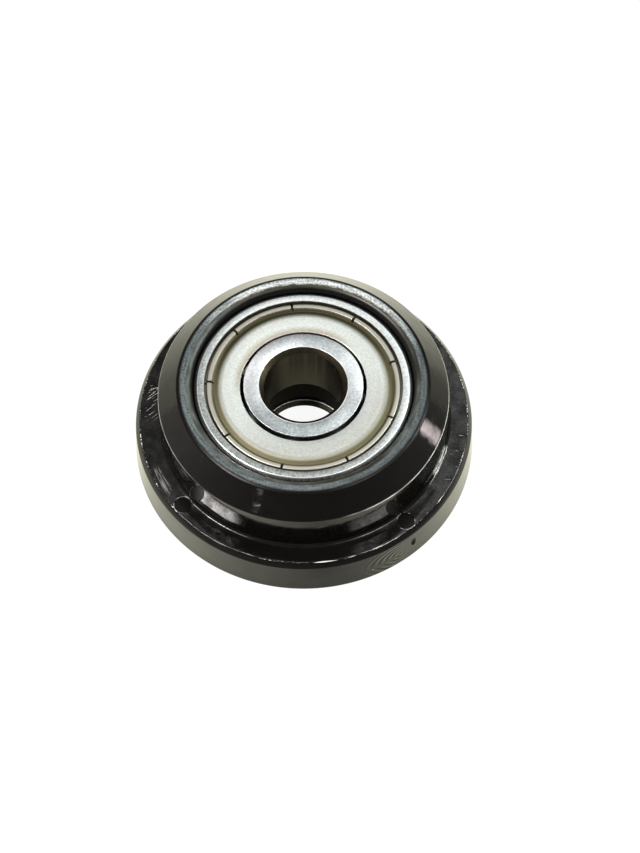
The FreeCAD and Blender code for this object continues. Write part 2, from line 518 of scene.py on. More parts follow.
def ejector_reach(tree, at):
    """How far a point is from the middle of the nearest of the four ejector marks, seen from above."""
    level = add(tree, "VectorRotate", {"Vector": at.place, "Angle": math.radians(-ejector_phase)},
                rotation_type="Z_AXIS")
    folded = add(tree, "VectorMath", {0: level.outputs[0]}, operation="ABSOLUTE")
    sides = add(tree, "SeparateXYZ", {0: folded.outputs[0]}).outputs
    longer = combined(tree, "MAXIMUM", sides["X"], sides["Y"])
    shorter = combined(tree, "MINIMUM", sides["X"], sides["Y"])
    seen = add(tree, "CombineXYZ", {0: longer, 1: shorter}).outputs[0]
    middle = (ejector_place_radius, 0, 0)
    return add(tree, "VectorMath", {0: seen, 1: middle}, operation="DISTANCE").outputs["Value"]


def flow_mark(tree, at):
    """Height of the flow mark beside the gate: nested loops that open towards the gate."""
    level = add(tree, "VectorRotate", {"Vector": at.place, "Angle": math.radians(-flow_azimuth)},
                rotation_type="Z_AXIS").outputs[0]
    sides = add(tree, "SeparateXYZ", {0: level}).outputs
    up = add(tree, "Math", {0: sides["Z"], 1: flow_height}, operation="SUBTRACT").outputs[0]
    drawn_in = add(tree, "Math", {0: sides["Y"], 1: flow_stretch}, operation="DIVIDE").outputs[0]
    loop = add(tree, "CombineXYZ", {1: drawn_in, 2: up}).outputs[0]
    reach = add(tree, "VectorMath", {0: loop}, operation="LENGTH").outputs["Value"]
    # A wave texture draws its rings this far apart in its own space
    wave_spacing = 0.314
    rings = add(tree, "TexWave", {"Vector": loop, "Scale": wave_spacing * per(flow_spacing),
                                  "Distortion": 6.0, "Detail": 2.0, "Detail Scale": 0.35},
                wave_type="RINGS", rings_direction="SPHERICAL").outputs["Fac"]
    before_gate = add(tree, "MapRange", {"Value": sides["Y"], "From Min": 0.6, "From Max": -0.6}).outputs[0]
    this_side = stretch(tree, at, azimuth=flow_azimuth, half_width=20, fade=10)
    fading = near(tree, reach, middle=1.1, reach=0.6, fade=1.0)
    return combined(tree, "MULTIPLY", rings, before_gate, this_side, fading)


def flange_scuffs_and_highlights(tree, at, on_top, drawn):
    """Wear on the flange's top: a rubbed line along its edge, drawn unbroken as a painted highlight over two
    stretches in front, a faint slide mark and hair scratches.
    """
    # Flecks and hair scratches are finer on the real one, and are drawn coarser here so that they show
    flecked = clouded(tree, at.place, size=0.22, detail=2, low=0.5, high=0.58)
    rubbed = add(tree, "MapRange", {"Value": drawn, "From Min": 0.48, "From Max": 0.62}).outputs[0]
    edge_line = near(tree, at.radius, middle=scuff_radius, reach=0.03, fade=0.03)
    # Painted highlight: at 240 and 287 degrees the pale edge line is drawn unbroken, where lamps catch the
    # edge
    flecks_and_highlight_stretches = combined(tree, "MAXIMUM", flecked,
                            stretch(tree, at, azimuth=240, half_width=10, fade=8),
                            stretch(tree, at, azimuth=287, half_width=14, fade=8))
    edge_scuff_and_highlight = combined(tree, "MULTIPLY", edge_line, rubbed, flecks_and_highlight_stretches)
    faint = add(tree, "MapRange", {"Value": drawn, "From Min": 0.46, "From Max": 0.64,
                                   "To Max": 0.3}).outputs[0]
    slide = combined(tree, "MULTIPLY", faint, stretch(tree, at, azimuth=208, half_width=4, fade=3),
                     near(tree, at.radius, middle=slide_radius, reach=0.25, fade=0.2))
    left_scores = [scored(tree, at, turn, length=1.3, width=0.08) for turn in (-25, -40)]
    left_hair = add(tree, "MapRange", {"Value": combined(tree, "MAXIMUM", *left_scores), "From Min": 0.71,
                                       "From Max": 0.78, "To Max": 0.7}).outputs[0]
    left_scratch = combined(tree, "MULTIPLY", left_hair,
                            stretch(tree, at, azimuth=173, half_width=5, fade=4),
                            near(tree, at.radius, middle=flange_slope_radius, reach=0.5, fade=0.3))
    right_score = scored(tree, at, 8, length=1.4, width=0.08)
    right_hair = add(tree, "MapRange", {"Value": right_score, "From Min": 0.83, "From Max": 0.86}).outputs[0]
    right_scratch = combined(tree, "MULTIPLY", right_hair,
                             stretch(tree, at, azimuth=335, half_width=20, fade=8))
    scuffs = combined(tree, "MAXIMUM", edge_scuff_and_highlight, slide, left_scratch, right_scratch)
    return combined(tree, "MULTIPLY", on_top, scuffs)


def ejector_wear(tree, at, on_top):
    """The ejector marks' sunk faces, and the patchy pale flash round them."""
    reach = ejector_reach(tree, at)
    sunk = near(tree, at.height, middle=flange_top - ejector_depth, reach=0.03, fade=0.02)
    pin_face = combined(tree, "MULTIPLY", sunk, near(tree, reach, middle=0.0, reach=0.85, fade=0.03))
    patched = clouded(tree, at.place, size=0.8, detail=2, low=0.49, high=0.63, most=0.45)
    flash_line = near(tree, reach, middle=0.93, reach=0.02, fade=0.04)
    return pin_face, combined(tree, "MULTIPLY", on_top, flash_line, patched)


def painted_hub_highlights(tree, at, drawn):
    """Painted highlights on the hub: a pale line where the cone starts, and pale streaks at the root of its
    wall.
    """
    # Painted highlight: a pale line along the cone's lower edge, on the left and the right
    cone_line = combined(tree, "MULTIPLY",
                         near(tree, at.radius, middle=hub_radius, reach=0.03, fade=0.04),
                         near(tree, at.height, middle=cone_bottom, reach=0.05, fade=0.05))
    line_share = add(tree, "MapRange", {"Value": drawn, "From Min": 0.35, "From Max": 0.65, "To Min": 0.25,
                                        "To Max": 0.8}).outputs[0]
    left_side = combined(tree, "MULTIPLY", stretch(tree, at, azimuth=178, half_width=26, fade=22), 0.5)
    right_side = stretch(tree, at, azimuth=337, half_width=32, fade=22)
    sides = combined(tree, "MAXIMUM", left_side, right_side)
    painted_cone_highlight = combined(tree, "MULTIPLY", cone_line, sides, line_share)
    # Painted highlight: pale streaks on the root fillet on the right, where a lamp catches it
    root_line = add(tree, "MapRange", {"Value": drawn, "From Min": 0.47, "From Max": 0.56,
                                       "To Max": 0.95}).outputs[0]
    painted_root_highlight = combined(tree, "MULTIPLY", root_line,
                           stretch(tree, at, azimuth=339, half_width=4, fade=4),
                           near(tree, at.radius, middle=hub_radius + 0.2, reach=0.13, fade=0.05),
                           near(tree, at.height, middle=flange_top + 0.3, reach=0.25, fade=0.1))
    return combined(tree, "MAXIMUM", painted_cone_highlight, painted_root_highlight)


def dust_specks(tree, at):
    """Single specks of dust, one in each of a few cells."""
    cells = add(tree, "TexVoronoi", {"Vector": at.place, "Scale": per(1.2)}).outputs
    dot = add(tree, "MapRange", {"Value": cells["Distance"], "From Min": 0.025, "From Max": 0.04,
                                 "To Min": 1.0, "To Max": 0.0}).outputs[0]
    chance = add(tree, "SeparateXYZ", {0: cells["Color"]}).outputs[0]
    few = add(tree, "Math", {0: chance, 1: 0.72}, operation="GREATER_THAN").outputs[0]
    return combined(tree, "MULTIPLY", dot, few)


def gate_hollow(tree, at):
    """The torn hollow that the gate left."""
    inside = add(tree, "MapRange", {"Value": at.radius, "From Min": gate_hollow_radius,
                                    "From Max": gate_hollow_radius + 0.03, "To Min": 1.0,
                                    "To Max": 0.0}).outputs[0]
    return combined(tree, "MULTIPLY", inside,
                    stretch(tree, at, azimuth=gate_azimuth, half_width=1.1, fade=0.3),
                    near(tree, at.height, middle=gate_height, reach=gate_half_height, fade=0.02))


def moulded_shine(tree, at, on_top, dark_marks):
    """How strongly the plastic mirrors: hazy, weak in dark marks, and uneven on the flange's handled top."""
    hazed = clouded(tree, at.place, size=1.6, detail=4, low=0.35, high=0.65, least=0.42, most=0.5)
    # Handling leaves finer specks than these, which are drawn coarser so that they show
    speckled = clouded(tree, at.place, size=0.26, detail=3, low=0.4, high=0.62, least=0.65)
    blotched = clouded(tree, at.place, size=1.5, detail=3, low=0.38, high=0.6, least=0.5, most=1.1)
    handled = combined(tree, "MULTIPLY", speckled, blotched)
    top_share = add(tree, "Mix", {0: on_top, 2: 1.0, 3: handled}).outputs[0]
    shine = combined(tree, "MULTIPLY", hazed, top_share)
    return add(tree, "Mix", {0: dark_marks, 2: shine, 3: 0.12}).outputs[0]


def moulded_roughness(tree, at, on_top, pin_face, marks):
    """Polished all over, duller along the flange's edge, at the hub's root and in ejector marks."""
    polished = clouded(tree, at.place, size=0.7, detail=4, low=0.35, high=0.75, least=0.04, most=0.14)
    worn_edge = combined(tree, "MULTIPLY", on_top,
                         near(tree, at.radius, middle=scuff_radius, reach=0.08, fade=0.04))
    rubbed_bright = stretch(tree, at, azimuth=335, half_width=16, fade=8)
    not_rubbed = add(tree, "Math", {0: 1.0, 1: rubbed_bright}, operation="SUBTRACT").outputs[0]
    root = combined(tree, "MULTIPLY", not_rubbed,
                    near(tree, at.radius, middle=hub_radius + hub_root, reach=0.2, fade=0.06),
                    near(tree, at.height, middle=flange_top + hub_root / 2, reach=0.15, fade=0.06))
    dulled = combined(tree, "MAXIMUM", worn_edge, root, pin_face)
    soft = add(tree, "Mix", {0: dulled, 2: polished, 3: 0.2}).outputs[0]
    return add(tree, "Mix", {0: marks, 2: soft, 3: 0.45}).outputs[0]


def moulded_surface(tree, at):
    """Shallow ripples from the mould, stronger on the cone, and the flow mark on the flange's side."""
    ripple = add(tree, "TexNoise", {"Vector": at.place, "Scale": per(1.8), "Detail": 2.0}).outputs[0]
    on_cone = add(tree, "MapRange", {"Value": at.height, "From Min": cone_bottom,
                                     "From Max": cone_bottom + 0.2, "To Min": 1.0, "To Max": 2.6}).outputs[0]
    waved = combined(tree, "MULTIPLY", ripple, on_cone)
    rippled = add(tree, "Bump", {"Height": waved, "Strength": 1.0, "Distance": 0.008 * mm}).outputs[0]
    return add(tree, "Bump", {"Height": flow_mark(tree, at), "Strength": 1.0, "Distance": 0.05 * mm,
                              "Normal": rippled}).outputs[0]


def moulded_black_plastic():
    """Gloss black ABS from a polished mould: near black, with rippled reflections and the marks of handling.

    The flange's top is speckled and blotchy, with a scuffed edge that is partly a painted highlight, hair
    scratches and dull ejector marks. There is a torn gate with a flow mark on its side, painted highlights at
    the hub's root and along the cone's edge, and dust all over.
    """
    material, tree = new_material("gloss_black_moulded_plastic")
    at = round_place(tree)
    on_top = near(tree, at.height, middle=flange_top, reach=0.08, fade=0.04)
    drawn = drawn_round(tree, at, at.radius, length=1.5, width=0.12)
    pin_face, pin_flash = ejector_wear(tree, at, on_top)
    # The pale marks are wear and dust, and also the painted highlights along the flange's edge, the cone's
    # edge and the hub's root
    marks = combined(tree, "MAXIMUM", flange_scuffs_and_highlights(tree, at, on_top, drawn), pin_flash,
                     painted_hub_highlights(tree, at, drawn), dust_specks(tree, at))
    dark_marks = combined(tree, "MAXIMUM", gate_hollow(tree, at), pin_face)
    base = add(tree, "Mix", {0: marks, 6: linear("#0b0a09"), 7: linear("#dcddd6")}, data_type="RGBA")
    return surfaced(material, {
        "Base Color": base.outputs[2],
        "IOR": 1.5,
        "Roughness": moulded_roughness(tree, at, on_top, pin_face, marks),
        "Specular IOR Level": moulded_shine(tree, at, on_top, dark_marks),
        "Normal": moulded_surface(tree, at),
    })


def rubbed_rim_with_painted_light():
    """The plastic where the rim's face has been rubbed: frosted blue-grey, streaked round and speckled.

    A stretch at the back is painted near silver as a highlight, and one at the right darker as painted shade.
    Its outer edge is black.
    """
    material, tree = new_material("rubbed_plastic_with_painted_light")
    at = round_place(tree)
    # Rubbing leaves finer lines and flecks than these, which are drawn coarser so that they show
    streak = drawn_round(tree, at, at.radius, length=2.5, width=0.2)
    fleck = add(tree, "TexNoise", {"Vector": at.place, "Scale": per(0.2), "Detail": 3.0}).outputs[0]
    mottle = add(tree, "Mix", {0: 0.55, 2: streak, 3: fleck}).outputs[0]
    frosted = toned(tree, mottle, 0.39, "#212829", 0.61, "#5b6466")
    highlight_silver = toned(tree, mottle, 0.4, "#6a7274", 0.6, "#cacecf")
    smooth = toned(tree, mottle, 0.39, "#1e2425", 0.61, "#4d5658")
    # Painted highlight: near silver over the stretch at the back; painted shade: darker over the stretch at
    # the right
    painted_highlight_back = stretch(tree, at, azimuth=84, half_width=20, fade=50)
    least = stretch(tree, at, azimuth=335, half_width=30, fade=35)
    partly = add(tree, "Mix", {0: least, 6: frosted, 7: smooth}, data_type="RGBA").outputs[2]
    rubbed = add(tree, "Mix", {0: painted_highlight_back, 6: partly, 7: highlight_silver}, data_type="RGBA").outputs[2]
    unrubbed = add(tree, "MapRange", {"Value": at.radius, "From Min": rim_radius - 0.33,
                                      "From Max": rim_radius - 0.11}).outputs[0]
    base = add(tree, "Mix", {0: unrubbed, 6: rubbed, 7: linear("#0b0a09")}, data_type="RGBA")
    bump = add(tree, "Bump", {"Height": mottle, "Strength": 0.6, "Distance": 0.02 * mm})
    return surfaced(material, {
        "Base Color": base.outputs[2],
        "IOR": 1.5,
        "Roughness": add(tree, "Mix", {0: unrubbed, 2: 0.36, 3: 0.3}).outputs[0],
        "Specular IOR Level": add(tree, "Mix", {0: unrubbed, 2: 0.5, 3: 0.12}).outputs[0],
        "Normal": bump.outputs[0],
    })


def dragged_black_plastic():
    """The pocket's mouth, dragged dull as the bearing was pressed in: olive-brown, black in its depth.

    It is painted paler grey on the left and the right as a highlight, and a pale line runs along its edge at
    the back.
    """
    material, tree = new_material("dragged_black_plastic")
    at = round_place(tree)
    streak = drawn_round(tree, at, at.height, length=2.0, width=0.12)
    dark = toned(tree, streak, 0.35, "#14140e", 0.65, "#2c2b21")
    worn = toned(tree, streak, 0.35, "#2f3330", 0.65, "#515652")
    # Painted highlight: the dragged plastic is paler grey on the left and the right, where lamps are
    # reflected
    painted_highlight_sides = combined(tree, "MAXIMUM", stretch(tree, at, azimuth=200, half_width=45, fade=40),
                          stretch(tree, at, azimuth=338, half_width=8, fade=20))
    dull = add(tree, "Mix", {0: painted_highlight_sides, 6: dark, 7: worn}, data_type="RGBA").outputs[2]
    deep = add(tree, "MapRange", {"Value": at.radius, "From Min": mouth_radius + 0.12,
                                  "From Max": mouth_radius + 0.32, "To Min": 1.0, "To Max": 0.0}).outputs[0]
    shaded = add(tree, "Mix", {0: deep, 6: dull, 7: linear("#090909")}, data_type="RGBA").outputs[2]
    patched = clouded(tree, at.place, size=0.5, detail=2, low=0.4, high=0.6, least=0.15, most=0.9)
    pale_line = combined(tree, "MULTIPLY", patched,
                         near(tree, at.height, middle=rim_top, reach=0.01, fade=0.03),
                         stretch(tree, at, azimuth=85, half_width=28, fade=30))
    base = add(tree, "Mix", {0: pale_line, 6: shaded, 7: linear("#b5b1a0")}, data_type="RGBA")
    return surfaced(material, {
        "Base Color": base.outputs[2],
        "IOR": 1.5,
        "Roughness": 0.38,
        "Specular IOR Level": add(tree, "Mix", {0: deep, 2: 0.35, 3: 0.12}).outputs[0],
    })


def lip_plastic_with_painted_light():
    """The lip round the axle hole: matt olive-grey as a painted reflection, with a painted highlight along
    its root.
    """
    material, tree = new_material("lip_plastic_with_painted_light")
    at = round_place(tree)
    cloud = add(tree, "TexNoise", {"Vector": at.place, "Scale": per(0.5), "Detail": 3.0}).outputs[0]
    # Painted reflection: the olive-grey stands in for the table reflected in the lip's wall
    olive = toned(tree, cloud, 0.3, "#313024", 0.7, "#413f30")
    # Painted highlight along the root of the lip's wall
    root_line = near(tree, at.radius, middle=well_radius - 0.09, reach=0.02, fade=0.03)
    base = add(tree, "Mix", {0: root_line, 6: olive, 7: linear("#f2f3f0")}, data_type="RGBA")
    return surfaced(material, {"Base Color": base.outputs[2], "IOR": 1.5, "Roughness": 0.6})


def ground_ring_steel():
    """Hardened bearing steel, ground: cool silver, finely grained and pitted, painted darker on one side as
    shade.

    A painted highlight runs along the edge of its chamfer.
    """
    material, tree = new_material("ground_bearing_steel")
    at = round_place(tree)
    # A ground face's own grain is far finer than this, and is drawn coarser so that it shows
    grain = add(tree, "TexNoise", {"Vector": at.place, "Scale": per(0.22), "Detail": 3.0}).outputs[0]
    clean = toned(tree, grain, 0.35, "#cbcfd0", 0.65, "#e9edee")
    shaded_tone = toned(tree, grain, 0.35, "#838786", 0.65, "#b8bcbb")
    # Painted shade: the face is darker on one side, centred at 236 degrees
    painted_shade = stretch(tree, at, azimuth=236, half_width=35, fade=105)
    face = add(tree, "Mix", {0: painted_shade, 6: clean, 7: shaded_tone}, data_type="RGBA").outputs[2]
    # Painted highlight along the edge of the outer chamfer
    painted_edge_highlight = near(tree, at.radius, middle=bearing_radius - outer_chamfer + 0.02, reach=0.04, fade=0.03)
    tone = add(tree, "Mix", {0: painted_edge_highlight, 6: face, 7: linear("#fbfcfc")}, data_type="RGBA")
    pitted = add(tree, "Bump", {"Height": grain, "Strength": 0.5, "Distance": 0.012 * mm})
    return surfaced(material, {"Base Color": tone.outputs[2], "Metallic": 1.0, "Roughness": 0.34,
                               "Normal": pitted.outputs[0]})


def radial_ground_steel():
    """Bearing steel face-ground across the ring: lines along the radius fan its highlights out.

    Painted shade dims it at the front, the back and the right, and a painted highlight runs along its bore
    edge in front.
    """
    material, tree = new_material("radially_ground_bearing_steel")
    at = round_place(tree)
    # Grinding lines and grain are finer on the real face, and are drawn coarser here so that they show
    angle = add(tree, "TexGradient", {"Vector": at.place}, gradient_type="RADIAL").outputs["Fac"]
    from_origin = add(tree, "VectorMath", {0: at.place}, operation="LENGTH").outputs["Value"]
    line_count = 150.0
    line_length = 1.5
    lines_round = combined(tree, "MULTIPLY", angle, line_count)
    lines_along = combined(tree, "MULTIPLY", from_origin, per(line_length))
    line_place = add(tree, "CombineXYZ", {0: lines_round, 1: lines_along}).outputs[0]
    streak = add(tree, "TexNoise", {"Vector": line_place, "Scale": 1.0, "Detail": 3.0}).outputs[0]
    grain = add(tree, "TexNoise", {"Vector": at.place, "Scale": per(0.2), "Detail": 3.0}).outputs[0]
    lines = add(tree, "Mix", {0: 0.75, 2: streak, 3: grain}).outputs[0]
    clean = toned(tree, lines, 0.35, "#d0d4d9", 0.65, "#f4f6f9")
    shaded_tone = toned(tree, lines, 0.35, "#8b9194", 0.65, "#bcc2c4")
    # Painted shade at the front, the back and the right
    front_painted_shade = stretch(tree, at, azimuth=262, half_width=28, fade=45)
    back_painted_shade = combined(tree, "MULTIPLY", stretch(tree, at, azimuth=68, half_width=6, fade=30), 0.7)
    right_painted_shade = combined(tree, "MULTIPLY", stretch(tree, at, azimuth=318, half_width=14, fade=28), 0.85)
    painted_shade = combined(tree, "MAXIMUM", front_painted_shade, back_painted_shade, right_painted_shade)
    face = add(tree, "Mix", {0: painted_shade, 6: clean, 7: shaded_tone}, data_type="RGBA").outputs[2]
    # Painted highlight along the bore's edge in front
    bore_edge = near(tree, at.radius, middle=bore_radius + bore_chamfer, reach=0.06, fade=0.03)
    painted_edge_highlight = combined(tree, "MULTIPLY", bore_edge, stretch(tree, at, azimuth=280, half_width=60, fade=30))
    tone = add(tree, "Mix", {0: painted_edge_highlight, 6: face, 7: linear("#fbfcfd")}, data_type="RGBA")
    lay = add(tree, "Tangent", direction_type="RADIAL", axis="Z")
    return surfaced(material, {"Base Color": tone.outputs[2], "Metallic": 1.0, "Roughness": 0.36,
                               "Anisotropic": 0.6, "Tangent": lay.outputs[0]})


def scaled_chamfer_steel():
    """The bore's chamfer as hardened, not ground: dark brown-grey scale, half matt."""
    material, tree = new_material("dark_scaled_steel")
    cloud = add(tree, "TexNoise", {"Vector": place_in_mm(tree), "Scale": per(0.4), "Detail": 4.0}).outputs[0]
    scale = toned(tree, cloud, 0.0, "#28251b", 1.0, "#484336")
    return surfaced(material, {"Base Color": scale, "Metallic": 1.0, "Roughness": 0.45})


def seat_steel_with_painted_shade():
    """The shield's seat in the outer ring: painted dark grey-brown as shade in the gap, with a dull sheen."""
    material, tree = new_material("seat_steel_with_painted_shade")
    cloud = add(tree, "TexNoise", {"Vector": place_in_mm(tree), "Scale": per(0.5), "Detail": 3.0}).outputs[0]
    # Painted shade: a dark tone where shade falls in the gap at the shield's edge
    oil = toned(tree, cloud, 0.3, "#55514a", 0.7, "#7d786c")
    return surfaced(material, {"Base Color": oil, "Metallic": 1.0, "Roughness": 0.5})


def honed_bore_steel():
    """The honed bore: smooth steel, streaked brown with painted reflections, paler low down as painted light.

    It is painted darker at the sides as shade than at the front and the back.
    """
    material, tree = new_material("streaked_honed_steel")
    at = round_place(tree)
    angle = add(tree, "TexGradient", {"Vector": at.place}, gradient_type="RADIAL").outputs["Fac"]
    streak_count = 26.0
    streaks_round = combined(tree, "MULTIPLY", angle, streak_count)
    streak = add(tree, "TexNoise", {"W": streaks_round, "Scale": 1.0, "Detail": 2.0},
                 noise_dimensions="1D").outputs[0]
    # Painted reflections: light and dark streaks running up the wall
    painted_bands = toned(tree, streak, 0.3, "#847c6d", 0.7, "#c2baa9")
    low = add(tree, "MapRange", {"Value": at.height, "From Min": bearing_top - 2.1,
                                 "From Max": bearing_bottom + bore_chamfer}).outputs[0]
    paler_low = add(tree, "Mix", {0: low, 6: painted_bands, 7: linear("#cbc3b1")}, data_type="RGBA").outputs[2]
    # Painted shade: the sides take a darker tone than the front and the back
    unshaded_front_back = combined(tree, "MAXIMUM", stretch(tree, at, azimuth=92, half_width=14, fade=34),
                     stretch(tree, at, azimuth=272, half_width=14, fade=34))
    wall = add(tree, "Mix", {0: unshaded_front_back, 6: linear("#645e52"), 7: paler_low}, data_type="RGBA")
    return surfaced(material, {"Base Color": wall.outputs[2], "Metallic": 1.0, "Roughness": 0.28})


def pressed_shield_steel():
    """Plated strip steel, pressed: pale satin with a fine sandy grain, and painted olive shade in its
    channel.

    The olive shade is painted darker at the back. Warm painted shade lies near the hole and in front;
    bead and leg are darker, the leg as painted shade.
    """
    material, tree = new_material("satin_pressed_steel")
    at = round_place(tree)
    # The strip's grain is finer than this, and is drawn coarser so that it shows
    grain = add(tree, "TexNoise", {"Vector": at.place, "Scale": per(0.2), "Detail": 3.0}).outputs[0]
    clean = toned(tree, grain, 0.3, "#c9cdc9", 0.7, "#e0e4e0")
    shaded_tone = toned(tree, grain, 0.3, "#a49e91", 0.7, "#b9b4aa")
    # Painted shade, warm, near the hole at the back and on the washer in front
    hole_painted_shade = combined(tree, "MULTIPLY", stretch(tree, at, azimuth=116, half_width=46, fade=40),
                         near(tree, at.radius, middle=shield_hole_radius + 0.06, reach=0.2, fade=0.6))
    front_painted_shade = combined(tree, "MULTIPLY", stretch(tree, at, azimuth=295, half_width=45, fade=40),
                          near(tree, at.radius, middle=slope_radius - 0.5, reach=0.3, fade=0.6), 0.4)
    painted_shade = combined(tree, "MAXIMUM", hole_painted_shade, front_painted_shade)
    face = add(tree, "Mix", {0: painted_shade, 6: clean, 7: shaded_tone}, data_type="RGBA").outputs[2]
    bead = add(tree, "Math", {0: at.radius, 1: channel_radius}, operation="GREATER_THAN").outputs[0]
    dulled = add(tree, "Mix", {0: bead, 6: face, 7: linear("#b0aea3")}, data_type="RGBA").outputs[2]
    # Painted shade on the leg, where it goes down into the gap at the ring
    leg = add(tree, "MapRange", {"Value": at.radius, "From Min": leg_radius - 0.14,
                                 "From Max": leg_radius - 0.06}).outputs[0]
    leg_painted_shade = add(tree, "Mix", {0: leg, 6: dulled, 7: linear("#807d72")}, data_type="RGBA").outputs[2]
    # Painted shade: an olive band over the channel, darker at the back
    band_rises = add(tree, "MapRange", {"Value": at.radius, "From Min": slope_radius - 0.42,
                                    "From Max": slope_radius + 0.2}).outputs[0]
    band_falls = add(tree, "MapRange", {"Value": at.radius, "From Min": channel_radius + 0.02,
                                     "From Max": bead_radius + 0.15, "To Min": 1.0, "To Max": 0.0}).outputs[0]
    painted_bands = combined(tree, "MULTIPLY", band_rises, band_falls)
    darker_at_back = stretch(tree, at, azimuth=95, half_width=45, fade=40)
    oil = add(tree, "Mix", {0: darker_at_back, 6: linear("#5d5944"), 7: linear("#46432f")},
              data_type="RGBA").outputs[2]
    tone = add(tree, "Mix", {0: painted_bands, 6: leg_painted_shade, 7: oil}, data_type="RGBA")
    bump = add(tree, "Bump", {"Height": grain, "Strength": 0.5, "Distance": 0.01 * mm})
    return surfaced(material, {
        "Base Color": tone.outputs[2],
        "Metallic": 1.0,
        "Roughness": add(tree, "Mix", {0: painted_bands, 2: 0.42, 3: 0.6}).outputs[0],
        "Normal": bump.outputs[0],
    })


def cage_strip_steel():
    """Cold-rolled cage strip: dull grey steel with a faint oil-brown cast."""
    material, tree = new_material("cold_rolled_cage_steel")
    cloud = add(tree, "TexNoise", {"Vector": place_in_mm(tree), "Scale": per(0.6), "Detail": 3.0}).outputs[0]
    tone = toned(tree, cloud, 0.0, "#8f8a80", 1.0, "#b5b0a6")
    return surfaced(material, {"Base Color": tone, "Metallic": 1.0, "Roughness": 0.38})


def polished_ball_steel():
    """Lapped ball steel: mirror bright, with only a trace of haze."""
    material, tree = new_material("polished_ball_steel")
    hazed = clouded(tree, place_in_mm(tree), size=0.5, detail=2, low=0.0, high=1.0, least=0.04, most=0.1)
    return surfaced(material, {"Base Color": linear("#d0d1d2"), "Metallic": 1.0, "Roughness": hazed})


# Pieces with their finishes, and what each one moves with and stands for


def roller_finish(face):
    """Number of a roller face's finish: moulded, rubbed rim, dragged mouth or lip painted olive."""
    radius = face.center.xy.length / mm
    height = face.center.z / mm
    mouth_edge = mouth_radius + lead_in
    level = face.normal.z > rim_face_level
    if height > rim_top - rim_face_depth and level and radius > mouth_edge - face_margin:
        return 1
    if height > throat_bottom and radius < mouth_edge:
        return 2
    if lip_underside < height < lip_top + well_root and radius < well_radius - fine_edge / 2:
        return 3
    return 0


def inner_ring_finish(face):
    """Number of an inner ring face's finish: ground, scaled in the chamfer or honed in the bore."""
    radius = face.center.xy.length / mm
    if radius < bore_radius + face_margin:
        return 2
    if radius < bore_radius + bore_chamfer - face_margin:
        return 1
    return 0


def outer_ring_finish(face):
    """Number of an outer ring face's finish: ground, or painted dark as shade in the shields' seats."""
    radius = face.center.xy.length / mm
    upright = abs(face.normal.z) < flat_level
    in_seat = outer_land_radius + ring_edge < radius < groove_radius + face_margin / 2 and upright
    below_groove = face.center.z < (bearing_top - groove_top) * mm
    return int(in_seat or (outer_land_radius < radius < groove_radius and below_groove))


def dress(piece, finishes, choose):
    """Gives a piece its finishes, and each face the one whose number choose returns."""
    for finish in finishes:
        piece.data.materials.append(finish)
    for face in piece.data.polygons:
        face.material_index = choose(face)


roller = roller_moulding()
dress(roller, [moulded_black_plastic(), rubbed_rim_with_painted_light(), dragged_black_plastic(), lip_plastic_with_painted_light()],
      roller_finish)
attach(roller, "roller")
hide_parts("roller_body")

inner = inner_ring()
dress(inner, [radial_ground_steel(), scaled_chamfer_steel(), honed_bore_steel()], inner_ring_finish)
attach(inner, "axle_side")
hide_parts("inner_ring")

outer = outer_ring()
dress(outer, [ground_ring_steel(), seat_steel_with_painted_shade()], outer_ring_finish)
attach(outer, "roller")
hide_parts("outer_ring")

shield_steel = pressed_shield_steel()
for node, upper in (("upper_shield", True), ("lower_shield", False)):
    shield = pressed_shield(node + "_pressed", upper)
    shield.data.materials.append(shield_steel)
    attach(shield, "roller")
    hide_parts(node)

cage_steel = cage_strip_steel()
ball_steel = polished_ball_steel()
for name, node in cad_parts.items():
    if name.startswith("ball_"):
        node.data.materials[0] = ball_steel
    elif "cage" in name:
        node.data.materials[0] = cage_steel


# Studio: a white table, soft lamps round it and a dim room above


def table_reflection(tree):
    """How bright the table is in reflections: darker in the roller's shade and far off, brighter behind."""
    place = place_in_mm(tree)
    shade_middle = (3, -20, 0)
    from_shade = add(tree, "VectorMath", {0: place, 1: shade_middle}, operation="DISTANCE").outputs["Value"]
    lit = add(tree, "MapRange", {"Value": from_shade, "From Min": 0.0, "From Max": 17.0, "To Min": 0.36,
                                 "To Max": 1.3}).outputs[0]
    from_axis = add(tree, "VectorMath", {0: place}, operation="LENGTH").outputs["Value"]
    under_roller = add(tree, "MapRange", {"Value": from_axis, "From Min": 14.0, "From Max": 18.3,
                                          "To Min": 0.05, "To Max": 1.0}).outputs[0]
    across = add(tree, "SeparateXYZ", {0: place}).outputs["X"]
    far_level = add(tree, "MapRange", {"Value": across, "From Min": -110.0, "From Max": 40.0,
                                       "To Min": 0.55, "To Max": 0.3}).outputs[0]
    far_share = add(tree, "MapRange", {"Value": from_axis, "From Min": 30.0, "From Max": 95.0}).outputs[0]
    far = add(tree, "Mix", {0: far_share, 2: 1.0, 3: far_level}).outputs[0]
    backwards = (0.3, 0.95, 0)
    behind = add(tree, "VectorMath", {0: place, 1: backwards}, operation="DOT_PRODUCT").outputs["Value"]
    back_lit = add(tree, "MapRange", {"Value": behind, "From Min": 5.0, "From Max": 28.0, "To Min": 1.0,
                                      "To Max": 1.35}).outputs[0]
    return combined(tree, "MULTIPLY", lit, under_roller, far, back_lit)


